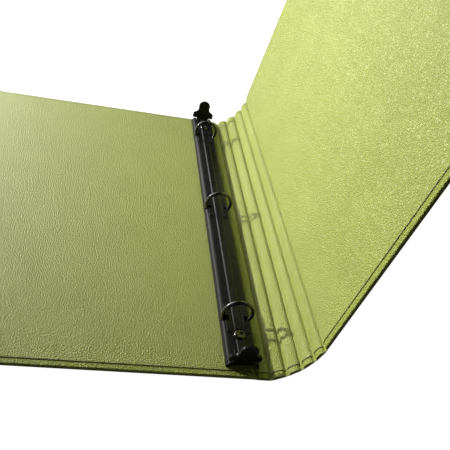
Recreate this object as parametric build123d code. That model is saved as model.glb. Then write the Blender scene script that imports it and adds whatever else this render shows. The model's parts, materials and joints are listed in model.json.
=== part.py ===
"""Three-ring binder with a five-slat rolling spine, standing half open.

Millimetres. The table is Z = 0, +Z is up, +Y runs along the spine towards the far end, +X runs from the
ring mechanism towards the front cover. The origin is on the underside of the back cover, below the middle
ring. The back cover lies flat, and the spine slats climb in steps to the upright front cover.
"""
from build123d import *
import math
import os

# Covers and slats: board wrapped in leatherette, with a liner glued inside
cover_height = 291.0
cover_width = 254.0
cover_thickness = 2.8
sheet = 0.35
turn_in = 15.0
liner_margin = 3.5
rivet_y = 121.0

# Spine: crease 0 is a fixed score beside the ring mechanism, creases 1 to 5 fold
score_x = 7.5
slat_pitch = 9.25
rest_folds = [31.0, 12.5, 15.5, 12.5, 11.5]
flank_foot = 0.5
flank_top = 1.45
flank_height = 2.15
shoulder_radius = 1.0
crown_radius = 7.0
cover_crown_run = 2.2
cover_crown_radius = 3.0
slat_crown = 0.08
crease_radius = 0.35
crease_web = 0.25
groove_liner = 0.75

# Ring mechanism, heights above the liner
ring_pitch = 107.95
ring_radius = 9.0
ring_height = 8.8
wire_radius = 1.2
wire_bend = 35.0
housing_length = 280.0
housing_half_width = 9.4
housing_leg_gap = 5.9
housing_leg_depth = 3.5
slot_middle = 7.2
slot_width = 5.2
slot_clearance = 0.5
slot_low = 2.4
pad_inner = 3.2
pad_outer = 7.0
pad_reach = 11.0
pad_top = 5.0
arch_inside = 3.9
rib_x = 4.4
rib_y = 133.5
seat_radius = 4.2
seat_low = 4.2
leaf_pivot_x = 7.5
leaf_pivot_z = 2.6
leaf_sheet = 0.8
leaf_tilt = 8.0
leaf_length = 270.4
leaf_gap = 0.2
leg_length = 1.6
stake_reach = 1.2
trigger_pivot_y = 138.2
trigger_pivot_z = 2.4
trigger_lean = 12.0
trigger_sheet = 2.0
trigger_edge = 0.45
pivot_radius = 1.0
ear_radius = 0.93
fork_half_width = 1.2
fork_reach = 3.9
fork_depth = 2.0
fork_rise = 0.55
mouth_depth = 1.4
mouth_rise = 0.3
rivet_shank_radius = 1.6
rivet_post_radius = 2.2
rivet_head_radius = 3.4
rivet_head_height = 1.3
clench_radius = 2.6
clench_top = 0.4
washer_radius = 4.5
washer_top = 0.9
stake_radius = 0.8
stake_head_radius = 1.25

half_height = cover_height / 2
deck = cover_thickness
ring_places = {"far": ring_pitch, "middle": 0.0, "near": -ring_pitch}
axis_height = sheet
below = -1.0
past = 9.0
flank_below = flank_foot - (flank_top - flank_foot) * (sheet - below) / (flank_height - sheet)

os.makedirs("parts", exist_ok=True)


def write(name, shape):
    """Export one node."""
    export_step(shape, f"parts/{name}.step")


def along(face, low, high):
    """Extrude a face of the XZ plane from Y = low to Y = high."""
    return Pos(0, high, 0) * extrude(face, high - low)


def box(x0, x1, y0, y1, z0, z1):
    """A box from its two corners."""
    return Pos((x0 + x1) / 2, (y0 + y1) / 2, (z0 + z1) / 2) * Box(x1 - x0, y1 - y0, z1 - z0)


def rod(radius, x, y, z0, z1):
    """An upright round rod."""
    return Pos(x, y, (z0 + z1) / 2) * Cylinder(radius, z1 - z0)


def rounded(points, radii):
    """A closed XY outline with the corners in radii, given by their index, rounded."""
    face = make_face(Polyline(*points, close=True))
    for index, radius in radii.items():
        corner = min(face.vertices(), key=lambda v: math.dist((v.X, v.Y), points[index]))
        face = fillet([corner], radius)
    return face


# ---- leatherette over board ----------------------------------------------------------------------------

def slat_face(width):
    """Inner side of a slat: steep flanks, round shoulders and a low crown, open-ended downwards."""
    points = [
        (flank_below, below),
        (flank_top, flank_height),
        (width / 2, cover_thickness + slat_crown),
        (width - flank_top, flank_height),
        (width - flank_below, below),
    ]
    return rounded(points, {1: shoulder_radius, 2: crown_radius, 3: shoulder_radius})


def panel_face(width):
    """Inner side of a cover: one flank at the crease, flat to the fore edge."""
    points = [
        (flank_below, below),
        (flank_top, flank_height),
        (flank_top + cover_crown_run, cover_thickness),
        (width, cover_thickness),
        (width, below),
    ]
    return rounded(points, {1: shoulder_radius, 2: cover_crown_radius})


def above_skin(face):
    """Keep what lies above the outer skin."""
    return face & (Pos(0, past + sheet) * Rectangle(3 * cover_width, 2 * past))


def wrapped(width, face, fore_edge):
    """Board, skin and liner of a slat or cover along +X from a crease at X = 0, outer skin at Z = 0."""
    end = width - (0.0 if fore_edge else flank_foot)
    lining = above_skin(face(width)) - above_skin(offset(face(width), -sheet))
    turned = above_skin(offset(face(width), -sheet))
    under = above_skin(offset(face(width), -2 * sheet))
    liner = along(Plane.XZ * lining, liner_margin - half_height, half_height - liner_margin)
    if fore_edge:
        liner -= box(width - liner_margin, width + past, -half_height, half_height, below, past)
    solid = along(Plane.XZ * turned, -half_height, half_height) + box(
        flank_foot, end, -half_height, half_height, 0, sheet
    )
    if fore_edge:
        solid += box(width - 3 * sheet, width, -half_height, half_height, 0, cover_thickness - sheet)
    thick = along(Plane.XZ * turned, turn_in - half_height, half_height - turn_in)
    thin = along(Plane.XZ * under, sheet - half_height, half_height - sheet)
    board = thick + thin
    if fore_edge:
        board -= box(width - sheet, width + past, -half_height, half_height, below, past)
        under_turn = cover_thickness - 2 * sheet
        board -= box(width - turn_in, width + past, -half_height, half_height, under_turn, past)
    skin = solid - board
    return board, skin, liner


def placed(shape, place):
    """Put a slat or cover on its crease: place is the crease's X, Z and the slope in degrees."""
    x, z, slope = place
    return Pos(x, 0, z) * Rot(0, -slope, 0) * Pos(0, 0, -axis_height) * shape


def crease_strip():
    """Flexible fold line: a bead on the fold axis with a web back to the panel it belongs to."""
    bead = Rot(90, 0, 0) * Cylinder(crease_radius, cover_height)
    web = box(-flank_foot, 0, -half_height, half_height, -crease_web, crease_web)
    return Pos(0, 0, axis_height) * (bead + web)


# Creases 1 to 5 in order, with the slope of the slat or cover that follows each
creases = [(score_x + slat_pitch, axis_height, rest_folds[0])]
for fold in rest_folds[1:]:
    x, z, slope = creases[-1]
    run = math.radians(slope)
    creases.append((x + slat_pitch * math.cos(run), z + slat_pitch * math.sin(run), slope + fold))

# Back cover: the flat panel and the fixed slat beside it share one skin and one liner
panel_board, panel_skin, panel_liner = wrapped(cover_width, panel_face, True)
slat_board, slat_skin, slat_liner = wrapped(slat_pitch, slat_face, False)
back_board, back_skin, back_liner = [
    Rot(0, 0, 180) * piece for piece in (panel_board, panel_skin, panel_liner)
]
back_skin += box(-flank_foot, flank_foot, -half_height, half_height, 0, sheet) + slat_skin
groove_reach = half_height - liner_margin
back_liner += box(-groove_liner, groove_liner, -groove_reach, groove_reach, sheet, 2 * sheet) + slat_liner
back_board, back_skin, back_liner, first_board = [
    Pos(score_x, 0, 0) * piece for piece in (back_board, back_skin, back_liner, slat_board)
]
for y in (-rivet_y, rivet_y):
    back_board -= rod(rivet_shank_radius, 0, y, below, past) + rod(washer_radius, 0, y, below, washer_top)
    back_skin -= rod(washer_radius, 0, y, below, washer_top)
    back_liner -= rod(rivet_shank_radius, 0, y, below, past)
write("back_cover_board", back_board)
write("back_cover_skin", back_skin)
write("back_cover_liner", back_liner)
write("slat_0_board", first_board)

for number in range(1, 5):
    for name, piece in zip(("board", "skin", "liner"), (slat_board, slat_skin, slat_liner)):
        write(f"slat_{number}_{name}", placed(piece, creases[number - 1]))
for name, piece in zip(("board", "skin", "liner"), (panel_board, panel_skin, panel_liner)):
    write(f"front_cover_{name}", placed(piece, creases[4]))
for number in range(1, 6):
    x, z, slope = creases[number - 1]
    slope_before = 0.0 if number == 1 else creases[number - 2][2]
    write(f"crease_{number}", placed(crease_strip(), (x, z, slope_before)))


# ---- ring mechanism ------------------------------------------------------------------------------------

def mirrored_face(right_side, radii):
    """A closed face symmetrical about X = 0 from its right-hand points, top first."""
    points = right_side + [(-x, z) for x, z in reversed(right_side)]
    return rounded(points, radii)


def housing_shell():
    """The arch of the housing before its slots are cut: spine bead, ring pads, end ribs and rivet seats."""
    outside = [(2.0, 5.5), (2.6, 4.8), (7.2, 4.3), (8.7, 3.4), (9.4, 1.4), (housing_half_width, 0)]
    inside = [(1.6, 4.7), (2.2, 4.0), (6.9, 3.5), (8.0, 2.75), (8.6, 1.2), (8.6, below)]
    half = housing_length / 2
    outer_bends = {0: 0.3, 11: 0.3, 2: 0.8, 9: 0.8, 3: 0.6, 8: 0.6}
    shell = along(Plane.XZ * mirrored_face(outside, outer_bends), -half, half)
    hollow = along(Plane.XZ * mirrored_face(inside, {}), -half - past, half + past)
    for y in ring_places.values():
        pad = box(pad_inner, pad_outer, y - pad_reach, y + pad_reach, arch_inside, pad_top)
        pad = chamfer(pad.edges().group_by(Axis.Z)[-1], 0.25)
        shell += pad + mirror(pad, Plane.YZ)
    for end in (-1, 1):
        for side in (-1, 1):
            rib = Pos(side * rib_x, end * rib_y, 4.7) * Box(1.1, 5.0, 1.2)
            shell += fillet(rib.edges().group_by(Axis.Z)[-1], 0.3)
        shell -= rod(seat_radius, 0, end * rivet_y, pad_top, past)
        shell += rod(seat_radius, 0, end * rivet_y, seat_low, pad_top)
        hollow -= rod(seat_radius, 0, end * rivet_y, seat_low, past)
    return shell - hollow


def ring_housing():
    """Pressed steel cover: a low arch with ring slots, rivet holes and two pivot legs at each end."""
    body = housing_shell()
    for y in ring_places.values():
        for side in (-1, 1):
            slot_length = 2 * (wire_radius + slot_clearance)
            slot = Box(slot_width, slot_length, past, align=(Align.CENTER, Align.CENTER, Align.MIN))
            body -= Pos(side * slot_middle, y, slot_low) * slot
    leg_top = housing_length / 2 - housing_leg_depth
    for end in (-1, 1):
        body -= rod(rivet_shank_radius, 0, end * rivet_y, below, past)
        gap = box(-housing_leg_gap, housing_leg_gap, leg_top, leg_top + past, below, past)
        body -= gap if end > 0 else mirror(gap, Plane.XZ)
        pivot = Rot(0, 90, 0) * Cylinder(pivot_radius, 3 * housing_half_width)
        body -= Pos(0, end * trigger_pivot_y, trigger_pivot_z) * pivot
    return body


def on_left_leaf(shape):
    """Place something drawn flat, from the pivot at X = 0, on the closed left leaf."""
    return Pos(-leaf_pivot_x, 0, leaf_pivot_z) * Rot(0, leaf_tilt, 0) * shape


def leaf(side):
    """Toggling leaf: outer edge held in the housing's side, inner edge at the centre line, tilted closed."""
    length = leaf_pivot_x - leaf_gap
    slab = box(0, length, -leaf_length / 2, leaf_length / 2, -leaf_sheet / 2, leaf_sheet / 2)
    slab += Rot(90, 0, 0) * Cylinder(leaf_sheet / 2, leaf_length)
    for y in (-rivet_y, rivet_y):
        slab -= rod(rivet_post_radius + 0.6, leaf_pivot_x, y, below, past)
    shape = on_left_leaf(slab)
    return shape if side < 0 else mirror(shape, Plane.YZ)


def half_ring(y, side):
    """Half of a ring from its tip at the top to the stake that holds it in the leaf."""
    bend = math.radians(wire_bend)
    section = Pos(0, ring_height + ring_radius) * Circle(wire_radius)
    arc = revolve(Plane.YZ * section, Axis((0, 0, ring_height), (0, -1, 0)), 90 + wire_bend)
    start = Vector(-ring_radius * math.cos(bend), 0, ring_height - ring_radius * math.sin(bend))
    down = Vector(math.sin(bend), 0, -math.cos(bend))
    leg = Plane(start, z_dir=down) * (Pos(0, 0, leg_length / 2) * Cylinder(wire_radius, leg_length))
    under = on_left_leaf(box(below, 2 * leaf_pivot_x, -past, past, -past, leaf_sheet / 2))
    head_low = -leaf_sheet / 2 - 0.75
    stake = rod(stake_radius, 0, 0, head_low, stake_radius)
    stake += rod(stake_head_radius, 0, 0, head_low, head_low + 0.45)
    foot = start + down * stake_reach
    wire = arc + leg - under + Pos(foot.X, 0, leaf_pivot_z) * Rot(0, leaf_tilt, 0) * stake
    if side > 0:
        wire = mirror(wire, Plane.YZ)
    return Pos(0, y, 0) * wire


def trigger(end):
    """End lever: a waisted tab with two wings above the legs, pivot ears and a fork round the leaf ends."""
    right = [(2.4, 18.9), (5.4, 15.6), (4.7, 12.4), (5.4, 9.6)]
    right += [(9.1, 7.8), (9.4, 3.2), (5.4, 3.2), (5.4, -1.0)]
    corners = [2.6, 2.2, 3.0, 1.6, 0.7, 0.8, 0.5, 0.5]
    radii = dict(enumerate(corners + corners[::-1]))
    tab = Pos(0, trigger_sheet / 2, 0) * extrude(Plane.XZ * mirrored_face(right, radii), trigger_sheet)
    rims = tab.faces().group_by(Axis.Y)[0].edges() + tab.faces().group_by(Axis.Y)[-1].edges()
    tab = Rot(-trigger_lean, 0, 0) * fillet(rims, trigger_edge)
    ears = Rot(0, 90, 0) * Cylinder(ear_radius, 2 * housing_half_width - 0.6)
    arm = box(-fork_half_width, fork_half_width, -fork_reach, 0, -fork_depth, fork_rise)
    mouth_end = leaf_length / 2 - trigger_pivot_y + 0.8
    mouth = box(-past, past, -past, mouth_end, -mouth_depth, mouth_rise)
    shape = Pos(0, trigger_pivot_y, trigger_pivot_z) * (tab + ears + arm - mouth)
    return shape if end > 0 else mirror(shape, Plane.XZ)


def rivet(y):
    """Shouldered rivet: dimpled dome on the housing, post through the leaves, clenched behind the cover."""
    dome = rod(rivet_head_radius, 0, y, pad_top, pad_top + rivet_head_height)
    dome = fillet(dome.edges().group_by(Axis.Z)[-1], 1.0)
    dome -= Pos(0, y, pad_top + 3.0) * Sphere(2.2)
    post = rod(rivet_post_radius, 0, y, 0, seat_low)
    shank = rod(rivet_shank_radius, 0, y, 0.1 - deck, pad_top + 0.2)
    clench = rod(clench_radius, 0, y, 0.05 - deck, clench_top - deck)
    return dome + post + shank + clench


def washer(y):
    """Flat washer under the clenched end of a rivet."""
    ring = rod(washer_radius - 0.1, 0, y, clench_top - deck, washer_top - deck)
    return ring - rod(rivet_shank_radius, 0, y, -past, past)


def on_deck(shape):
    """Lift a piece of the ring mechanism onto the liner."""
    return Pos(0, 0, deck) * shape


rings = {(place, side): half_ring(y, side) for place, y in ring_places.items() for side in (-1, 1)}
side_names = {-1: "left", 1: "right"}
for (place, side), ring in rings.items():
    write(f"ring_{place}_{side_names[side]}", on_deck(ring))
for side, name in side_names.items():
    plate = leaf(side)
    for place in ring_places:
        plate -= rings[(place, side)]
    write(f"{name}_leaf", on_deck(plate))
write("ring_housing", on_deck(ring_housing()))
write("trigger_far", on_deck(trigger(1)))
write("trigger_near", on_deck(trigger(-1)))
write("rivets", on_deck(Compound([rivet(-rivet_y), rivet(rivet_y)])))
write("rivet_washers", on_deck(Compound([washer(-rivet_y), washer(rivet_y)])))
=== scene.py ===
import json
import math

import bmesh
import bpy
from mathutils import Matrix, Vector, noise


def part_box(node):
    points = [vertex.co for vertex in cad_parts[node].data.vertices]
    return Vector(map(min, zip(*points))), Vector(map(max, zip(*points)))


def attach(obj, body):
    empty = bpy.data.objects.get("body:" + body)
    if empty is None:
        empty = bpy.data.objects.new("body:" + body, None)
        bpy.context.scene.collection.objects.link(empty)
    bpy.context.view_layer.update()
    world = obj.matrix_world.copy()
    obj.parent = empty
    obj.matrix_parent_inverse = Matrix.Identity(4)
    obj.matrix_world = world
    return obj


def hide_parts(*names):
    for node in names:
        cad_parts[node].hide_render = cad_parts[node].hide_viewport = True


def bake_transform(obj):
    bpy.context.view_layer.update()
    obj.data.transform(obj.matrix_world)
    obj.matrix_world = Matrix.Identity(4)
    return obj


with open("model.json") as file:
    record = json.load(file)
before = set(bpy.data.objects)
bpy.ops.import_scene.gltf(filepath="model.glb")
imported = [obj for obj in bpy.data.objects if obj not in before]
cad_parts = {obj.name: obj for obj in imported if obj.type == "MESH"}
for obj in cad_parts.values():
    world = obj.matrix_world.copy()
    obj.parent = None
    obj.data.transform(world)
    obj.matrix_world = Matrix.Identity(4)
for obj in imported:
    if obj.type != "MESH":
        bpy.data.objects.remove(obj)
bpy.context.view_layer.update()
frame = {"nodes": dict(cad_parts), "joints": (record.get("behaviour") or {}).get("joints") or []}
mm = 0.001
print("frame loaded:", len(frame["nodes"]), "nodes")

# places and sizes taken from the frame
joints = {joint["name"]: joint for joint in frame["joints"]}
skinLow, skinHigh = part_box("back_cover_skin")
housingLow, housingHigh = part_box("ring_housing")
halfHeight = skinHigh.y / mm              # everything below is in millimetres
foreEdge = -skinLow.x / mm
deck = housingLow.z / mm                  # top of the lining, which carries the rings
creases = [Vector(joints[f"fold_{k}"]["pos_m"]) / mm for k in range(1, 6)]
folds = [-joints[f"fold_{k}"]["range_deg"][0] for k in range(1, 6)]
slatPitch = (creases[1] - creases[0]).length
sheetThick = creases[0].z                 # the creases lie on the inside of the outer leatherette
score = creases[0] - Vector((slatPitch, 0, 0))
coverWidth = foreEdge + score.x
rivetHead = 3.4                           # radius of a rivet's head
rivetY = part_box("rivets")[1].y / mm - rivetHead
slatPlaces = [(score, 0.0)]               # where each slat starts, and its slope in radians
for k in range(5):
    slatPlaces.append((creases[k], math.radians(sum(folds[: k + 1]))))


def placeAt(point, slope):
    return Matrix.Translation(point * mm) @ Matrix.Rotation(-slope, 4, "Y")


touching = 1e-6                           # metres: closer than this is the same place
apart = 1e-4                              # metres: further than this is clearly another place


def newPiece(name, bm, material, sharpAngle=38):
    mesh = bpy.data.meshes.new(name)
    bm.normal_update()
    bm.to_mesh(mesh)
    bm.free()
    piece = bpy.data.objects.new(name, mesh)
    bpy.context.scene.collection.objects.link(piece)
    mesh.materials.append(material)
    smoothShade(piece, sharpAngle)
    return piece


def smoothShade(piece, sharpAngle):
    piece.data.shade_smooth()
    piece.data.set_sharp_from_angle(angle=math.radians(sharpAngle))


def applyModifiers(piece, sharpAngle=38):
    graph = bpy.context.evaluated_depsgraph_get()
    graph.update()
    mesh = bpy.data.meshes.new_from_object(piece.evaluated_get(graph))
    piece.modifiers.clear()
    piece.data = mesh
    smoothShade(piece, sharpAngle)


def evenNormals(piece):
    even = piece.modifiers.new("evenNormals", "WEIGHTED_NORMAL")
    even.keep_sharp = True
    even.weight = 80


def cutAway(piece, cutters, join=False):
    for cutter in cutters:
        step = piece.modifiers.new("cut", "BOOLEAN")
        step.operation = "UNION" if join else "DIFFERENCE"
        step.solver = "EXACT"
        step.object = cutter
    applyModifiers(piece)
    for cutter in cutters:
        bpy.data.objects.remove(cutter)


def softenEdges(piece, width, segments=2, angle=40):
    step = piece.modifiers.new("soften", "BEVEL")
    step.width = width * mm
    step.segments = segments
    step.limit_method = "ANGLE"
    step.angle_limit = math.radians(angle)
    step.use_clamp_overlap = True
    applyModifiers(piece)


def span(edge, axis):
    first, second = edge.verts
    return abs(first.co[axis] - second.co[axis])


def vertsOf(items):
    return [item for item in items if isinstance(item, bmesh.types.BMVert)]


def edgesOf(items):
    return [item for item in items if isinstance(item, bmesh.types.BMEdge)]


def roundOff(bm, parts, radius, segments, affect="EDGES", clamp=False):
    bmesh.ops.bevel(bm, geom=parts, offset=radius * mm, segments=segments, profile=0.5, affect=affect,
                    material=-1, clamp_overlap=clamp)


def roundUprights(bm, radius, segments):
    roundOff(bm, [edge for edge in bm.edges if span(edge, 2) > apart], radius, segments)


# an outline in the XZ plane, in millimetres, with some of its corners rounded
def outlineFace(bm, points, rounds=()):
    corners = [bm.verts.new((x * mm, 0, z * mm)) for x, z in points]
    bm.faces.new(corners)
    for index, radius, segments in rounds:
        roundOff(bm, [corners[index]], radius, segments, "VERTICES")
    bm.normal_update()
    return bm.faces[:][0]


def extrudeFaces(bm, faces, shift):
    grown = bmesh.ops.extrude_face_region(bm, geom=faces)["geom"]
    bmesh.ops.translate(bm, verts=vertsOf(grown), vec=shift)


# a flat section at Y zero drawn out to both sides of it, and divided into steps along Y
def extrudeBothWays(bm, half, steps=1):
    section = bm.faces[:]
    bmesh.ops.translate(bm, verts=bm.verts[:], vec=(0, half * mm, 0))
    extrudeFaces(bm, section, (0, -2 * half * mm, 0))
    longEdges = [edge for edge in bm.edges if span(edge, 1) > half * mm]
    if steps > 1:
        bmesh.ops.subdivide_edges(bm, edges=longEdges, cuts=steps - 1, use_grid_fill=False)
    bmesh.ops.recalc_face_normals(bm, faces=bm.faces[:])


def rodBetween(bm, radius, start, end, segments=32):
    start, end = Vector(start) * mm, Vector(end) * mm
    turn = (end - start).to_track_quat("Z", "Y").to_matrix().to_4x4()
    bmesh.ops.create_cone(bm, cap_ends=True, segments=segments, radius1=radius * mm, radius2=radius * mm,
                          depth=(end - start).length, matrix=Matrix.Translation((start + end) / 2) @ turn)


def blockBetween(bm, low, high):
    low, high = Vector(low) * mm, Vector(high) * mm
    size = high - low
    bmesh.ops.create_cube(bm, size=1, matrix=Matrix.Translation((low + high) / 2)
                          @ Matrix.Diagonal((size.x, size.y, size.z, 1)))


def rodPiece(name, material, radius, start, end, segments=32):
    bm = bmesh.new()
    rodBetween(bm, radius, start, end, segments)
    return newPiece(name, bm, material)


def startMaterial(name, look):
    material = bpy.data.materials.new(name)
    material.use_nodes = True
    nodes, links = material.node_tree.nodes, material.node_tree.links
    shader = nodes["Principled BSDF"]
    for socket, value in look.items():
        shader.inputs[socket].default_value = value
    place = nodes.new("ShaderNodeTexCoord")
    return material, nodes, links, shader, place.outputs["Object"]


def noiseNode(nodes, links, source, scale, detail=3.0, roughness=0.55):
    grain = nodes.new("ShaderNodeTexNoise")
    grain.inputs["Scale"].default_value = scale
    grain.inputs["Detail"].default_value = detail
    grain.inputs["Roughness"].default_value = roughness
    links.new(source, grain.inputs["Vector"])
    return grain.outputs["Fac"]


def remap(nodes, links, source, low, high, newLow, newHigh):
    step = nodes.new("ShaderNodeMapRange")
    for socket, value in (("From Min", low), ("From Max", high), ("To Min", newLow), ("To Max", newHigh)):
        step.inputs[socket].default_value = value
    links.new(source, step.inputs["Value"])
    return step.outputs["Result"]


# spreads a noise, which mostly keeps to the middle of its range, over the wanted one
def stretch(nodes, links, source, newLow, newHigh):
    return remap(nodes, links, source, 0.3, 0.7, newLow, newHigh)


def mixColours(nodes, links, factor, first, second, blend="MIX"):
    mix = nodes.new("ShaderNodeMix")
    mix.data_type = "RGBA"
    mix.blend_type = blend
    for socket, value in ((mix.inputs[0], factor), (mix.inputs[6], first), (mix.inputs[7], second)):
        if isinstance(value, (tuple, float)):
            socket.default_value = value
        else:
            links.new(value, socket)
    return mix.outputs[2]


def addBump(nodes, links, height, shader, strength, depth, before=None):
    bump = nodes.new("ShaderNodeBump")
    bump.inputs["Strength"].default_value = strength
    bump.inputs["Distance"].default_value = depth
    links.new(height, bump.inputs["Height"])
    if before:
        links.new(before, bump.inputs["Normal"])
    links.new(bump.outputs["Normal"], shader.inputs["Normal"])
    return bump.outputs["Normal"]


# the grain is a net of small cells with fine tooth on them, over slow waves and clouds of tone; the cells'
# valleys are darkened as painted shade
leatherGrain = {
    "coatRough": 0.42, "sheen": 0.14, "sheenRough": 0.5, "warpPerMetre": 420, "warpReach": 0.0009,
    "cellEdge": 0.32, "valleyEdge": 0.55, "finePerMetre": 5200, "cloudPerMetre": 38, "wavesPerMetre": 90,
    "waveBump": (0.4, 0.00012), "cellDepth": 0.00035, "fineBump": (0.25, 0.00004),
}


def leatherette(name, look):
    grain = leatherGrain
    material, nodes, links, shader, place = startMaterial(name, {
        "Roughness": look["smooth"], "IOR": 1.5, "Coat Weight": look["gloss"],
        "Coat Roughness": grain["coatRough"], "Sheen Weight": grain["sheen"],
        "Sheen Roughness": grain["sheenRough"]})
    warp = nodes.new("ShaderNodeTexNoise")           # bends the cells so that the grain isn't regular
    warp.inputs["Scale"].default_value = grain["warpPerMetre"]
    links.new(place, warp.inputs["Vector"])
    shift = nodes.new("ShaderNodeVectorMath")
    shift.operation = "MULTIPLY_ADD"
    shift.inputs[1].default_value = (grain["warpReach"],) * 3
    links.new(warp.outputs["Color"], shift.inputs[0])
    links.new(place, shift.inputs[2])
    cells = nodes.new("ShaderNodeTexVoronoi")
    cells.feature = "DISTANCE_TO_EDGE"
    cells.inputs["Scale"].default_value = look["grainPerMetre"]
    links.new(shift.outputs[0], cells.inputs["Vector"])
    pebble = remap(nodes, links, cells.outputs["Distance"], 0.0, grain["cellEdge"], 0.0, 1.0)
    fine = noiseNode(nodes, links, place, grain["finePerMetre"], 2.0)
    cloud = noiseNode(nodes, links, place, grain["cloudPerMetre"], 4.0)
    waves = noiseNode(nodes, links, place, grain["wavesPerMetre"], 2.0)
    tone = mixColours(nodes, links, stretch(nodes, links, cloud, 0.0, 1.0), look["deep"], look["pale"])
    # painted shade: the colour is multiplied darker towards each cell's edge, in the grain's valleys
    valley = remap(nodes, links, pebble, 0.0, grain["valleyEdge"], look["valley"], 1.0)
    shade = nodes.new("ShaderNodeCombineColor")
    for socket in shade.inputs:
        links.new(valley, socket)
    colour = mixColours(nodes, links, 1.0, tone, shade.outputs[0], "MULTIPLY")
    links.new(colour, shader.inputs["Base Color"])
    links.new(stretch(nodes, links, fine, look["smooth"], look["rough"]), shader.inputs["Roughness"])
    slow = addBump(nodes, links, waves, shader, *grain["waveBump"])
    skin = addBump(nodes, links, pebble, shader, look["grainDepth"], grain["cellDepth"], slow)
    addBump(nodes, links, fine, shader, *grain["fineBump"], skin)
    return material


metalFinish = {"coatRough": 0.06, "rubPerMetre": 160, "rubRough": 0.12, "peelBump": (0.12, 0.00006)}


def enamel(name, look):
    material, nodes, links, shader, place = startMaterial(name, {
        "Base Color": look["colour"], "Roughness": look["rough"], "IOR": look["gloss"],
        "Metallic": look["metal"], "Coat Weight": look["coat"], "Coat Roughness": metalFinish["coatRough"]})
    peel = noiseNode(nodes, links, place, look["peelPerMetre"], 2.0)
    rub = noiseNode(nodes, links, place, metalFinish["rubPerMetre"], 5.0, 0.7)
    rubbed = look["rough"] + metalFinish["rubRough"]
    links.new(remap(nodes, links, rub, 0.35, 0.75, look["rough"], rubbed), shader.inputs["Roughness"])
    tone = mixColours(nodes, links, remap(nodes, links, rub, 0.5, 0.8, 0.0, 1.0), look["colour"], look["worn"])
    links.new(tone, shader.inputs["Base Color"])
    addBump(nodes, links, peel, shader, *metalFinish["peelBump"])
    return material


boardLook = {"fibresPerMetre": 900, "deep": (0.23, 0.2, 0.16, 1), "pale": (0.42, 0.38, 0.31, 1),
             "bump": (0.4, 0.0001)}


def greyboard(name):
    material, nodes, links, shader, place = startMaterial(name, {"Roughness": 0.9})
    fibres = noiseNode(nodes, links, place, boardLook["fibresPerMetre"], 6.0, 0.7)
    spread = stretch(nodes, links, fibres, 0.0, 1.0)
    tone = mixColours(nodes, links, spread, boardLook["deep"], boardLook["pale"])
    links.new(tone, shader.inputs["Base Color"])
    addBump(nodes, links, fibres, shader, *boardLook["bump"])
    return material


# valley sets how dark the painted shade in the grain's valleys is
outerLeatherette = leatherette("outerLeatherette", {
    "deep": (0.31, 0.37, 0.032, 1), "pale": (0.35, 0.42, 0.042, 1), "grainPerMetre": 780, "grainDepth": 1.0,
    "valley": 0.8, "smooth": 0.40, "rough": 0.60, "gloss": 0.15})
innerLeatherette = leatherette("innerLeatherette", {
    "deep": (0.335, 0.385, 0.054, 1), "pale": (0.375, 0.43, 0.070, 1), "grainPerMetre": 780,
    "grainDepth": 1.0, "valley": 0.84, "smooth": 0.38, "rough": 0.58, "gloss": 0.15})
# dark edge material: painted shade along the lining's seam, partly the cut edge's darker backing
edgeBackingAndShade = leatherette("edgeBackingAndShade", {
    "deep": (0.075, 0.07, 0.008, 1), "pale": (0.11, 0.10, 0.014, 1), "grainPerMetre": 780, "grainDepth": 0.4,
    "valley": 0.9, "smooth": 0.5, "rough": 0.6, "gloss": 0.1})
blackEnamel = enamel("blackEnamel", {
    "colour": (0.010, 0.010, 0.010, 1), "worn": (0.018, 0.018, 0.018, 1), "rough": 0.26, "metal": 0.0,
    "gloss": 1.24, "coat": 0.0, "peelPerMetre": 700})
blackNickel = enamel("blackNickel", {
    "colour": (0.075, 0.074, 0.070, 1), "worn": (0.10, 0.098, 0.09, 1), "rough": 0.13, "metal": 0.9,
    "gloss": 1.5, "coat": 0.5, "peelPerMetre": 1100})
rivetMetal = enamel("rivetMetal", {
    "colour": (0.10, 0.098, 0.08, 1), "worn": (0.16, 0.15, 0.12, 1), "rough": 0.2, "metal": 1.0,
    "gloss": 1.5, "coat": 0.0, "peelPerMetre": 900})
boardGrey = greyboard("boardGrey")
print("materials made")

# leatherette over board: sizes in millimetres, steps as counts
wrapShape = {
    "foot": 0.5, "flankTop": 1.45, "flankRise": 2.15, "shoulder": 1.0, "slatCrown": 0.1, "crownRound": 2.4,
    "coverRun": 2.2, "coverRound": 1.2, "edgeRound": 0.95, "cornerRound": 1.6, "roundSteps": 5,
    "liningMargin": 3.5, "below": 0.7, "lengthSteps": 36, "ripple": 0.02, "ripplePerMetre": (90, 55),
    "seam": 0.42, "liningEdge": 0.1,
}
panelTop = deck - sheetThick                       # height of the lining's face above the crease line
flankHeight = wrapShape["flankRise"] - sheetThick


# where a flank meets the height low, carried on below the crease line, and its upper end
def flankEnds(low):
    foot, top = wrapShape["foot"], wrapShape["flankTop"]
    return foot + low * (top - foot) / flankHeight, top


def slatOutline(width, low):
    foot, top = flankEnds(low)
    return [(foot, low), (top, flankHeight), (width / 2, panelTop + wrapShape["slatCrown"]),
            (width - top, flankHeight), (width - foot, low)]


def panelOutline(width, low):
    foot, top = flankEnds(low)
    return [(foot, low), (top, flankHeight), (top + wrapShape["coverRun"], panelTop),
            (width, panelTop), (width, low)]


shoulderRounds = [(1, wrapShape["shoulder"], 5), (3, wrapShape["shoulder"], 5), (2, wrapShape["crownRound"], 6)]
panelRounds = [(1, wrapShape["shoulder"], 5), (2, wrapShape["coverRound"], 5)]


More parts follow.
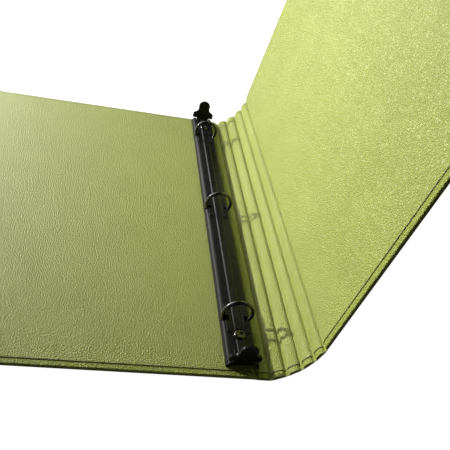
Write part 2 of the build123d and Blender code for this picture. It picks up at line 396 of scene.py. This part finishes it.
# a slat or panel wrapped in the outer leatherette, its ends and fore edge turned over
def makeWrap(name, outline, rounds, corners=False):
    bm = bmesh.new()
    face = outlineFace(bm, outline, rounds)
    skirt = bmesh.ops.inset_region(bm, faces=[face], thickness=sheetThick * mm, use_even_offset=True,
                                   use_boundary=True)["faces"]
    bmesh.ops.delete(bm, geom=skirt, context="FACES")
    extrudeBothWays(bm, halfHeight)
    steps = wrapShape["roundSteps"]
    endY = halfHeight * mm - touching
    foreX = max(vert.co.x for vert in bm.verts)
    if corners:
        upright = [edge for edge in bm.edges if all(vert.co.x > foreX - touching for vert in edge.verts)
                   and span(edge, 2) > apart]
        roundOff(bm, upright, wrapShape["cornerRound"], steps)
    cornerX = foreX - wrapShape["cornerRound"] * mm - apart

    def onRim(vert):
        atCorner = corners and vert.co.x > cornerX
        return abs(vert.co.y) > endY or (atCorner and len(vert.link_edges) == 3)

    rim = [edge for edge in bm.edges if all(onRim(vert) for vert in edge.verts)
           and edge.calc_face_angle(0) > math.radians(70)]
    if corners:                                      # the rounded corners' own uprights stay as they are
        rim = [edge for edge in rim if span(edge, 2) < touching or abs(edge.verts[0].co.y) > endY]
    roundOff(bm, rim, wrapShape["edgeRound"], steps, clamp=True)
    return newPiece(name, bm, outerLeatherette)


facing = 0.9                                         # a normal this far along an axis points that way


# cuts off the strip along the lining's edges that carries the painted seam shade
def cutShadedEdgeStrip(bm, seamY, foreX, openEnd):
    cuts = [((0, seamY, 0), (0, 1, 0)), ((0, -seamY, 0), (0, 1, 0))]
    if openEnd:
        cuts.append(((foreX, 0, 0), (1, 0, 0)))
    for spot, normal in cuts:
        bmesh.ops.bisect_plane(bm, geom=bm.verts[:] + bm.edges[:] + bm.faces[:], plane_co=spot, plane_no=normal,
                               dist=touching)


# the lining glued over it: only the flanks and the face, stopping short of the outer edges
def makeLining(name, outline, rounds, openEnd=False):
    bm = bmesh.new()
    outlineFace(bm, outline, rounds)
    half = halfHeight - wrapShape["liningMargin"]
    extrudeBothWays(bm, half, wrapShape["lengthSteps"])
    low = min(vert.co.z for vert in bm.verts)
    foreX = max(vert.co.x for vert in bm.verts) - wrapShape["seam"] * mm
    seamY = (half - wrapShape["seam"]) * mm
    cutShadedEdgeStrip(bm, seamY, foreX, openEnd)
    spare = [face for face in bm.faces if abs(face.normal.y) > facing or face.normal.z < -facing
             or (openEnd and face.normal.x > facing)]
    bmesh.ops.delete(bm, geom=spare, context="FACES")
    alongX, alongY = wrapShape["ripplePerMetre"]
    for vert in bm.verts:                            # the glued sheet isn't perfectly straight
        if vert.co.z > low + apart:
            sway = noise.noise(Vector((vert.co.x * alongX, vert.co.y * alongY, len(name))))
            vert.co.z += sway * wrapShape["ripple"] * mm
    bmesh.ops.recalc_face_normals(bm, faces=bm.faces[:])
    if sum(face.normal.z * face.calc_area() for face in bm.faces) < 0:
        bmesh.ops.reverse_faces(bm, faces=bm.faces[:])
    # the strip along the lining's ends and open fore edge gets the dark edge material: painted shade along the
    # seam, partly the cut edge's darker backing
    for face in bm.faces:
        middle = face.calc_center_median()
        if abs(middle.y) > seamY or (openEnd and middle.x > foreX):
            face.material_index = 1
    piece = newPiece(name, bm, innerLeatherette)
    piece.data.materials.append(edgeBackingAndShade)
    thick = piece.modifiers.new("thick", "SOLIDIFY")
    thick.thickness = sheetThick * mm
    thick.offset = -1
    thick.use_even_offset = True
    applyModifiers(piece)
    softenEdges(piece, wrapShape["liningEdge"], 2, 60)
    return piece


def setDown(piece, place, body, mirrored=False):
    matrix = placeAt(*place)
    if mirrored:
        matrix = matrix @ Matrix.Rotation(math.pi, 4, "Z")
    piece.data.transform(matrix)
    piece.data.update()
    evenNormals(piece)
    if body:
        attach(piece, body)


slatBodies = ["back_cover", "slat_1", "slat_2", "slat_3", "slat_4"]
wrapOutline = slatOutline(slatPitch, -wrapShape["below"])
liningOutline = slatOutline(slatPitch, 0)
for k, body in enumerate(slatBodies):
    wrap = makeWrap(f"slat_{k}_wrap", wrapOutline, shoulderRounds)
    setDown(wrap, slatPlaces[k], body)
    lining = makeLining(f"slat_{k}_lining", liningOutline, shoulderRounds)
    setDown(lining, slatPlaces[k], body)
    if k:
        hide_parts(f"slat_{k}_skin")
        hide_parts(f"slat_{k}_liner")
print("slats wrapped")

wrapOutline = panelOutline(coverWidth + sheetThick, -wrapShape["below"])
liningOutline = panelOutline(coverWidth - wrapShape["liningMargin"], 0)
lining = makeLining("front_cover_lining", liningOutline, panelRounds, openEnd=True)
setDown(lining, slatPlaces[5], "front_cover")
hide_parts("front_cover_liner")
wrap = makeWrap("front_cover_wrap", wrapOutline, panelRounds, corners=True)
setDown(wrap, slatPlaces[5], "front_cover")
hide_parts("front_cover_skin")

lining = makeLining("back_cover_lining", liningOutline, panelRounds, openEnd=True)
setDown(lining, slatPlaces[0], "back_cover", mirrored=True)
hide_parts("back_cover_liner")
wrap = makeWrap("back_cover_wrap", wrapOutline, panelRounds, corners=True)
setDown(wrap, slatPlaces[0], None, mirrored=True)

washerRecess = {"radius": 4.45, "below": -1.0, "gap": 0.03}       # each rivet's washer sits in one
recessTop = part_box("rivet_washers")[1].z / mm - washerRecess["gap"]
wrap.modifiers.clear()
cutAway(wrap, [rodPiece("cutter", outerLeatherette, washerRecess["radius"], (0, y, washerRecess["below"]),
                        (0, y, recessTop), 40) for y in (-rivetY, rivetY)])
evenNormals(wrap)
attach(wrap, "back_cover")
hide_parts("back_cover_skin")
print("covers wrapped")

# the leatherette between two slats, bent on the fold line
creaseShape = {"reach": 0.95, "bendHalf": 0.45, "thick": 0.25, "centreRise": 0.4, "bendSteps": 8,
               "leastFold": 0.5, "endGap": 0.25, "lengthSteps": 25}


def drawOut(bm, edges, shift):
    grown = bmesh.ops.extrude_edge_only(bm, edges=edges)["geom"]
    ends = vertsOf(grown)
    bmesh.ops.translate(bm, verts=ends, vec=shift)
    return [edge for edge in edgesOf(grown) if all(vert in ends for vert in edge.verts)]


def makeCrease(name, place, slopeBefore, fold):
    bm = bmesh.new()
    reach, thick = creaseShape["reach"] * mm, creaseShape["thick"] * mm
    start = bm.edges.new([bm.verts.new((-reach, 0, z)) for z in (-thick, thick)])
    foldLine = drawOut(bm, [start], (reach, 0, 0))
    bent = bmesh.ops.spin(bm, geom=foldLine, cent=(0, 0, creaseShape["centreRise"] * mm), axis=(0, -1, 0),
                          dvec=(0, 0, 0), angle=math.radians(max(fold, creaseShape["leastFold"])),
                          steps=creaseShape["bendSteps"], use_merge=False, use_duplicate=False)["geom_last"]
    turn = math.radians(fold)
    drawOut(bm, edgesOf(bent), (reach * math.cos(turn), 0, reach * math.sin(turn)))
    bmesh.ops.remove_doubles(bm, verts=bm.verts[:], dist=touching / 10)
    extrudeBothWays(bm, halfHeight - creaseShape["endGap"], creaseShape["lengthSteps"])
    piece = newPiece(name, bm, outerLeatherette)
    piece.data.transform(placeAt(place, slopeBefore))
    return piece


def bendAcross(piece):
    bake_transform(piece)


scoreFold = makeCrease("crease_0_fold", score, 0.0, 0.0)
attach(scoreFold, "back_cover")
for k in range(1, 6):
    fold = makeCrease(f"crease_{k}_fold", creases[k - 1], slatPlaces[k - 1][1], folds[k - 1])
    bendAcross(fold)
    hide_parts(f"crease_{k}")
print("creases folded")

# the rings' sizes come before the housing, because they place its slots
ringShape = {"radius": 9.0, "height": 8.8, "wire": 1.2, "bend": 35.0, "leg": 1.9, "roundSegments": 24,
             "arcSteps": 48, "tipRound": 0.16, "stake": 0.8, "stakeHead": 1.25, "leafDrop": 0.4,
             "stakeBelow": 0.75, "stakeAbove": 1.0, "headBelow": 0.3}
housing = {
    "outside": [(2.0, 5.5), (2.6, 4.8), (7.2, 4.3), (8.7, 3.4), (9.4, 1.4), (9.4, 0)],
    "inside": [(8.6, 0), (8.6, 1.2), (8.0, 2.75), (6.9, 3.5), (2.2, 4.0), (1.6, 4.7)],
    "bends": [0.5, 0.3, 0.9, 0.8, 0.7],              # radii at the outside's first five points
    "padIn": 3.2, "padOut": 7.0, "padReach": 11.0, "padFoot": 3.9, "padTop": 5.0, "padCorner": 1.1,
    "rim": 0.3, "ribX": 4.4, "ribY": 133.5, "ribHalf": (0.55, 2.5), "ribFoot": 4.1, "ribTop": 5.25,
    "slotIn": 4.6, "slotOut": 9.8, "slotHalf": 1.7, "slotLow": 2.4, "slotCorner": 0.6,
    "seat": 4.2, "seatLap": 0.05, "seatFoot": 4.2, "rivetHole": 1.6, "rivetHoleLow": 3.0,
    "legGap": 5.9, "legDepth": 3.5, "earHole": 1.0, "clearBelow": -1.0, "clearAbove": 9.0, "clearSide": 20.0,
    "edge": 0.12,
}
housingHalf = housingHigh.y / mm
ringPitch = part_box("ring_far_left")[1].y / mm - ringShape["stakeHead"]
ringPlaces = {"far": ringPitch, "middle": 0.0, "near": -ringPitch}
pivotY = joints["trigger_far_swing"]["pos_m"][1] / mm
pivotZ = joints["trigger_far_swing"]["pos_m"][2] / mm - deck
leafPivotZ = joints["right_leaf_swing"]["pos_m"][2] / mm - deck


# the pressed sheet's closed section: down the outside, up the inside, and the same mirrored
def makeSection():
    bm = bmesh.new()
    rightHalf = housing["outside"] + housing["inside"]
    section = rightHalf + [(-x, z) for x, z in reversed(rightHalf)]
    rounds = []
    for index, size in enumerate(housing["bends"]):
        rounds += [(index, size, 4), (len(section) - 1 - index, size, 4)]
    outlineFace(bm, section, rounds)
    extrudeBothWays(bm, housingHalf)
    return newPiece("housing_shell", bm, blackEnamel)


def makePad(y, side):
    bm = bmesh.new()
    low, high = sorted((side * housing["padIn"], side * housing["padOut"]))
    reach, top = housing["padReach"], housing["padTop"]
    blockBetween(bm, (low, y - reach, housing["padFoot"]), (high, y + reach, top))
    roundUprights(bm, housing["padCorner"], 5)
    rim = [edge for edge in bm.edges if all(vert.co.z > top * mm - touching for vert in edge.verts)]
    roundOff(bm, rim, housing["rim"], 3)
    return newPiece("raised", bm, blackEnamel)


def makeRib(x, y):
    bm = bmesh.new()
    halfX, halfY = housing["ribHalf"]
    blockBetween(bm, (x - halfX, y - halfY, housing["ribFoot"]), (x + halfX, y + halfY, housing["ribTop"]))
    roundOff(bm, bm.edges[:], housing["rim"], 3, clamp=True)
    return newPiece("raised", bm, blackEnamel)


def slotCutter(y, side):
    bm = bmesh.new()
    low, high = sorted((side * housing["slotIn"], side * housing["slotOut"]))
    half = housing["slotHalf"]
    blockBetween(bm, (low, y - half, housing["slotLow"]), (high, y + half, housing["clearAbove"]))
    roundUprights(bm, housing["slotCorner"], 4)
    return newPiece("cutter", bm, blackEnamel)


# what is cut at one end: the rivet's hole, the gap between the legs and the bore for the trigger's ears
def endCutters(end):
    y, above = end * rivetY, housing["clearAbove"]
    hole = rodPiece("cutter", blackEnamel, housing["rivetHole"], (0, y, housing["rivetHoleLow"]), (0, y, above))
    bm = bmesh.new()
    near, far = sorted((end * (housingHalf - housing["legDepth"]), end * (housingHalf + above)))
    blockBetween(bm, (-housing["legGap"], near, housing["clearBelow"]), (housing["legGap"], far, above))
    gap = newPiece("cutter", bm, blackEnamel)
    side, y = housing["clearSide"], end * pivotY
    bore = rodPiece("cutter", blackEnamel, housing["earHole"], (-side, y, pivotZ), (side, y, pivotZ))
    return [hole, gap, bore]


def makeHousing():
    shell = makeSection()
    places = [(y, side) for y in ringPlaces.values() for side in (-1, 1)]
    raised = [makePad(y, side) for y, side in places]
    for end in (-1, 1):
        raised += [makeRib(side * housing["ribX"], end * housing["ribY"]) for side in (-1, 1)]
    cutAway(shell, raised, join=True)
    seat, top, foot = housing["seat"], housing["padTop"], housing["seatFoot"]
    rivetPlaces = (-rivetY, rivetY)
    cutAway(shell, [rodPiece("cutter", blackEnamel, seat, (0, y, top), (0, y, housing["clearAbove"]), 48)
                    for y in rivetPlaces])
    cutAway(shell, [rodPiece("seat", blackEnamel, seat + housing["seatLap"], (0, y, foot), (0, y, top), 48)
                    for y in rivetPlaces], join=True)
    cutAway(shell, [slotCutter(y, side) for y, side in places] + endCutters(-1) + endCutters(1))
    softenEdges(shell, housing["edge"], 2, 50)
    return shell


def onDeck(piece, body, slot, *nodes):
    piece.data.transform(Matrix.Translation((0, 0, deck * mm)))
    evenNormals(piece)
    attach(piece, body)
    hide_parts(*nodes)


onDeck(makeHousing(), "back_cover", "housing_metal", "ring_housing")
print("housing pressed")

# half a ring: its arc from the tip at the top, a straight leg, and the stake that grips the leaf
def makeHalfRing(name, y, side):
    bm = bmesh.new()
    radius, height, leg = ringShape["radius"], ringShape["height"], ringShape["leg"]
    top = Matrix.Translation((0, 0, (height + radius) * mm)) @ Matrix.Rotation(math.pi / 2, 4, "Y")
    circle = bmesh.ops.create_circle(bm, cap_ends=True, segments=ringShape["roundSegments"],
                                     radius=ringShape["wire"] * mm, matrix=top)
    cap = circle["verts"][0].link_faces[0]
    last = bmesh.ops.spin(bm, geom=[cap], cent=(0, 0, height * mm), axis=(0, -1, 0), dvec=(0, 0, 0),
                          angle=math.radians(90 + ringShape["bend"]), steps=ringShape["arcSteps"],
                          use_merge=False, use_duplicate=False)["geom_last"]
    tip = [item for item in last if isinstance(item, bmesh.types.BMFace)]
    bend = math.radians(ringShape["bend"])
    down = Vector((math.sin(bend), 0, -math.cos(bend)))
    extrudeFaces(bm, tip, down * leg * mm)
    bmesh.ops.delete(bm, geom=tip, context="FACES_ONLY")
    bmesh.ops.remove_doubles(bm, verts=bm.verts[:], dist=touching / 10)
    topEdges = [edge for edge in bm.edges if all(abs(vert.co.x) < touching / 10 for vert in edge.verts)
                and edge.calc_face_angle(0) > 1]
    roundOff(bm, topEdges, ringShape["tipRound"], 3)
    footX = -radius * math.cos(bend) + down.x * leg
    leafTop = leafPivotZ - ringShape["leafDrop"]
    low = leafTop - ringShape["stakeBelow"]
    rodBetween(bm, ringShape["stake"], (footX, 0, low), (footX, 0, leafTop + ringShape["stakeAbove"]), 20)
    rodBetween(bm, ringShape["stakeHead"], (footX, 0, low), (footX, 0, leafTop - ringShape["headBelow"]), 24)
    if side > 0:
        bmesh.ops.scale(bm, vec=(-1, 1, 1), verts=bm.verts[:])
    bmesh.ops.recalc_face_normals(bm, faces=bm.faces[:])
    bmesh.ops.translate(bm, verts=bm.verts[:], vec=(0, y * mm, 0))
    return newPiece(name, bm, blackNickel)


for where, y in ringPlaces.items():
    for side, word in ((-1, "left"), (1, "right")):
        ring = makeHalfRing(f"ring_{where}_{word}_wire", y, side)
        onDeck(ring, f"{word}_leaf", "ring_wire", f"ring_{where}_{word}")
print("rings bent")

triggerShape = {
    "corners": [(2.4, 18.9), (5.4, 15.6), (4.7, 12.4), (5.4, 9.6), (9.1, 7.8), (9.4, 3.2), (5.4, 3.2),
                (5.4, -1.0)],
    "rounds": [2.4, 2.0, 2.0, 1.4, 0.7, 0.8, 0.5, 0.5],
    "lean": 12.0, "thick": 2.0, "edge": 0.55, "ear": 0.93, "earGap": 0.3, "forkHalf": 1.2, "forkReach": 3.9,
    "forkLow": -2.0, "forkHigh": 0.55, "mouthLow": -1.4, "mouthHigh": 0.3, "mouthEnd": -2.2,
}


# the leaning plate, its ears through the housing's legs, and the fork that takes hold of the leaves
def makeTrigger(name, end):
    bm = bmesh.new()
    right = triggerShape["corners"]
    outline = right + [(-x, z) for x, z in reversed(right)]
    rounds = []
    for index, size in enumerate(triggerShape["rounds"]):
        rounds += [(index, size, 6), (len(outline) - 1 - index, size, 6)]
    face = outlineFace(bm, outline, rounds)
    thick = triggerShape["thick"] * mm
    bmesh.ops.translate(bm, verts=bm.verts[:], vec=(0, -thick / 2, 0))
    extrudeFaces(bm, [face], (0, thick, 0))
    bmesh.ops.recalc_face_normals(bm, faces=bm.faces[:])
    rim = [edge for edge in bm.edges if span(edge, 1) < touching / 10]
    roundOff(bm, rim, triggerShape["edge"], 4, clamp=True)
    bmesh.ops.rotate(bm, verts=bm.verts[:], cent=(0, 0, 0),
                     matrix=Matrix.Rotation(math.radians(-triggerShape["lean"]), 3, "X"))
    ears = housingHigh.x / mm - triggerShape["earGap"]
    rodBetween(bm, triggerShape["ear"], (-ears, 0, 0), (ears, 0, 0), 28)
    half, reach, mouthEnd = triggerShape["forkHalf"], triggerShape["forkReach"], triggerShape["mouthEnd"]
    blockBetween(bm, (-half, mouthEnd, triggerShape["forkLow"]), (half, 0, triggerShape["forkHigh"]))
    for low, high in (("forkLow", "mouthLow"), ("mouthHigh", "forkHigh")):
        blockBetween(bm, (-half, -reach, triggerShape[low]), (half, mouthEnd, triggerShape[high]))
    if end < 0:
        bmesh.ops.scale(bm, vec=(1, -1, 1), verts=bm.verts[:])
        bmesh.ops.recalc_face_normals(bm, faces=bm.faces[:])
    bmesh.ops.translate(bm, verts=bm.verts[:], vec=(0, end * pivotY * mm, pivotZ * mm))
    return newPiece(name, bm, blackEnamel)


for end, word in ((1, "far"), (-1, "near")):
    lever = makeTrigger(f"trigger_{word}_lever", end)
    onDeck(lever, f"trigger_{word}", "trigger_metal", f"trigger_{word}")
print("triggers pressed")

# from the dished head down the shoulder and the shank to the clenched end: radius and height
rivetProfile = [(0, 5.72), (0.9, 5.82), (1.6, 6.12), (2.1, 6.3), (2.7, 6.22), (3.2, 5.85), (rivetHead, 5.4),
                (rivetHead, 5.0), (1.6, 5.0), (1.6, 4.2), (2.2, 4.2), (2.2, 0), (1.6, 0), (1.6, -2.4),
                (2.6, -2.45), (2.45, -2.75), (0, -2.75)]


def makeRivets():
    bm = bmesh.new()
    for y in (-rivetY, rivetY):
        spine = [bm.verts.new((x * mm, 0, z * mm)) for x, z in rivetProfile]
        edges = [bm.edges.new(pair) for pair in zip(spine, spine[1:])]
        bmesh.ops.spin(bm, geom=spine + edges, cent=(0, 0, 0), axis=(0, 0, 1), dvec=(0, 0, 0), angle=math.tau,
                       steps=40, use_merge=True, use_duplicate=False)
        fresh = [vert for vert in bm.verts if abs(vert.co.y) < rivetY * mm / 2]
        bmesh.ops.translate(bm, verts=fresh, vec=(0, y * mm, 0))
    bmesh.ops.remove_doubles(bm, verts=bm.verts[:], dist=touching / 10)
    bmesh.ops.recalc_face_normals(bm, faces=bm.faces[:])
    return newPiece("rivet_pair", bm, rivetMetal, 50)


onDeck(makeRivets(), "back_cover", "rivet_metal", "rivets")

# the plain parts that stay as they are: name ending and material
plainParts = {"board": boardGrey, "leaf": blackEnamel, "washers": rivetMetal}
for name, node in frame["nodes"].items():
    if node.hide_render:
        continue
    for word, material in plainParts.items():
        if name.endswith(word):
            node.data.materials.clear()
            node.data.materials.append(material)
print("plain parts finished")

studio = {
    "floor": (0.3, 0.3, 0.3, 1), "floorGlow": 1.0, "floorReach": 6, "floorDrop": 0.0002,
    "roomBright": 0.12, "roomDark": 0.02, "roomAxis": (-1.0, 0.0, 0.0), "roomEdge": (0.3, 0.6),
    "lamps": {                       # place, aim, size, power, spread in degrees, colour
        "key": ((-0.94, 0.31, 0.325), (0.30, -0.07, 0.08), 0.05, 1.60, 60, (1.0, 0.99, 0.96)),
        "farLeft": ((-0.38, 0.44, 0.22), (0.03, -0.02, 0.02), 0.40, 2.6, 180, (1.0, 1.0, 1.0)),
        "farNear": ((-0.16, 0.36, 0.24), (0.03, -0.02, 0.02), 0.30, 0.35, 180, (1.0, 1.0, 1.0)),
    },
}


def makeFloor():
    bm = bmesh.new()
    bmesh.ops.create_grid(bm, x_segments=2, y_segments=2, size=studio["floorReach"])
    bmesh.ops.translate(bm, verts=bm.verts[:], vec=(0, 0, -studio["floorDrop"]))
    material, nodes, links, shader, place = startMaterial("floorPaper", {
        "Base Color": studio["floor"], "Roughness": 0.8, "Emission Color": (1, 1, 1, 1)})
    sight = nodes.new("ShaderNodeLightPath")         # the glow whitens the table without lighting the binder
    links.new(remap(nodes, links, sight.outputs["Is Camera Ray"], 0, 1, 0, studio["floorGlow"]),
              shader.inputs["Emission Strength"])
    newPiece("floor", bm, material)


def makeLight(name, place, target, size, power, spread, colour):
    data = bpy.data.lights.new(name, "AREA")
    data.size = size
    data.energy = power
    data.spread = math.radians(spread)
    data.color = colour
    light = bpy.data.objects.new(name, data)
    light.location = place
    light.rotation_euler = (Vector(target) - Vector(place)).to_track_quat("-Z", "Y").to_euler()
    bpy.context.scene.collection.objects.link(light)


# a dim even room, a little brighter towards the open side of the binder
def makeRoom():
    world = bpy.data.worlds.new("softRoom")
    world.use_nodes = True
    nodes, links = world.node_tree.nodes, world.node_tree.links
    place = nodes.new("ShaderNodeTexCoord")
    towards = nodes.new("ShaderNodeVectorMath")      # how far a direction points to the open side
    towards.operation = "DOT_PRODUCT"
    towards.inputs[1].default_value = studio["roomAxis"]
    links.new(place.outputs["Generated"], towards.inputs[0])
    strength = remap(nodes, links, towards.outputs["Value"], *studio["roomEdge"], studio["roomDark"],
                     studio["roomBright"])
    sight = nodes.new("ShaderNodeLightPath")         # plain white where the room itself is seen
    seen = nodes.new("ShaderNodeMath")
    seen.operation = "MAXIMUM"
    links.new(strength, seen.inputs[0])
    links.new(sight.outputs["Is Camera Ray"], seen.inputs[1])
    links.new(seen.outputs["Value"], nodes["Background"].inputs["Strength"])
    nodes["Background"].inputs["Color"].default_value = (1.0, 1.0, 1.0, 1)
    bpy.context.scene.world = world


makeFloor()
makeRoom()
for name, settings in studio["lamps"].items():
    makeLight(name, *settings)
bpy.context.scene.view_settings.view_transform = "Standard"

cameraView = {                                       # metres, degrees, and the lens in millimetres
    "place": (-0.08728, -0.32090, 0.24011), "target": (-0.01230, -0.01383, 0.0), "roll": 14.718,
    "sensor": 36.0, "lens": 43.5928, "shift": (0.053622, 0.001044), "nearest": 0.01,
}


def makeCamera():
    data = bpy.data.cameras.new("view")
    data.sensor_width = cameraView["sensor"]
    data.lens = cameraView["lens"]
    data.shift_x, data.shift_y = cameraView["shift"]
    data.clip_start = cameraView["nearest"]
    camera = bpy.data.objects.new("view", data)
    place, target = Vector(cameraView["place"]), Vector(cameraView["target"])
    back = (place - target).normalized()
    right = Vector((0, 0, 1)).cross(back).normalized()
    level = Matrix((right, back.cross(right), back)).transposed()
    roll = Matrix.Rotation(math.radians(cameraView["roll"]), 3, "Z")
    camera.matrix_world = Matrix.Translation(place) @ (level @ roll).to_4x4()
    bpy.context.scene.collection.objects.link(camera)
    bpy.context.scene.camera = camera


makeCamera()
print("studio set")
